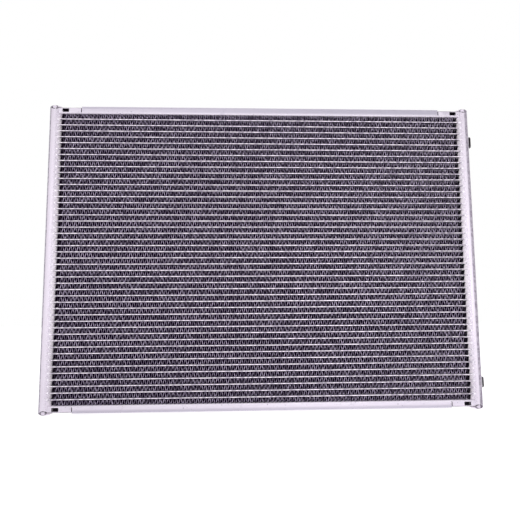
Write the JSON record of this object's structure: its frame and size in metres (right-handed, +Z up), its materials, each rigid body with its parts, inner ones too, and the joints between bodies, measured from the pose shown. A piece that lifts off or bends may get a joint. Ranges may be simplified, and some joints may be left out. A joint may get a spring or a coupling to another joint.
{
  "type": "air conditioning condenser",
  "caption": "Upright flat aluminium heat exchanger with round side headers, flat tubes, folded fins, channel side plates and two plugged side ports.",
  "frame": {"origin": "middle of the lower side plate's rear flange face, in the plane where the condenser is held", "axes": "+X along the tubes towards the header with the ports, +Y out of the back, +Z up; the front of the core faces -Y"},
  "size_m": [0.6917, 0.0395, 0.488],
  "materials": {
    "header_pipe": "satin, as brazed",
    "side_plate": "satin, as brazed",
    "port_block": "machined, as brazed",
    "port_plug": "moulded black",
    "tube_and_fin": "matt, as brazed"
  },
  "bodies": {
    "root": {"left_header": "header_pipe", "right_header": "header_pipe", "left_header_top_cap": "header_pipe", "left_header_bottom_cap": "header_pipe", "right_header_top_cap": "header_pipe", "right_header_bottom_cap": "header_pipe", "right_header_baffle": "header_pipe", "top_side_plate": "side_plate", "bottom_side_plate": "side_plate", "inlet_port_block": "port_block", "outlet_port_block": "port_block", "inlet_port_plug": "port_plug", "outlet_port_plug": "port_plug", "tube_and_fins_01": "tube_and_fin", "tube_and_fins_02": "tube_and_fin", "tube_and_fins_03": "tube_and_fin", "tube_and_fins_04": "tube_and_fin", "tube_and_fins_05": "tube_and_fin", "tube_and_fins_06": "tube_and_fin", "tube_and_fins_07": "tube_and_fin", "tube_and_fins_08": "tube_and_fin", "tube_and_fins_09": "tube_and_fin", "tube_and_fins_10": "tube_and_fin", "tube_and_fins_11": "tube_and_fin", "tube_and_fins_12": "tube_and_fin", "tube_and_fins_13": "tube_and_fin", "tube_and_fins_14": "tube_and_fin", "tube_and_fins_15": "tube_and_fin", "tube_and_fins_16": "tube_and_fin", "tube_and_fins_17": "tube_and_fin", "tube_and_fins_18": "tube_and_fin", "tube_and_fins_19": "tube_and_fin", "tube_and_fins_20": "tube_and_fin", "tube_and_fins_21": "tube_and_fin", "tube_and_fins_22": "tube_and_fin", "tube_and_fins_23": "tube_and_fin", "tube_and_fins_24": "tube_and_fin", "tube_and_fins_25": "tube_and_fin", "tube_and_fins_26": "tube_and_fin", "tube_and_fins_27": "tube_and_fin", "tube_and_fins_28": "tube_and_fin", "tube_and_fins_29": "tube_and_fin", "tube_and_fins_30": "tube_and_fin", "tube_and_fins_31": "tube_and_fin", "tube_and_fins_32": "tube_and_fin", "tube_and_fins_33": "tube_and_fin", "tube_and_fins_34": "tube_and_fin", "tube_and_fins_35": "tube_and_fin", "tube_and_fins_36": "tube_and_fin", "tube_and_fins_37": "tube_and_fin", "tube_and_fins_38": "tube_and_fin", "tube_and_fins_39": "tube_and_fin", "tube_and_fins_40": "tube_and_fin", "tube_and_fins_41": "tube_and_fin", "tube_and_fins_42": "tube_and_fin", "tube_and_fins_43": "tube_and_fin", "tube_and_fins_44": "tube_and_fin", "tube_and_fins_45": "tube_and_fin", "tube_and_fins_46": "tube_and_fin"}
  },
  "joints": []
}
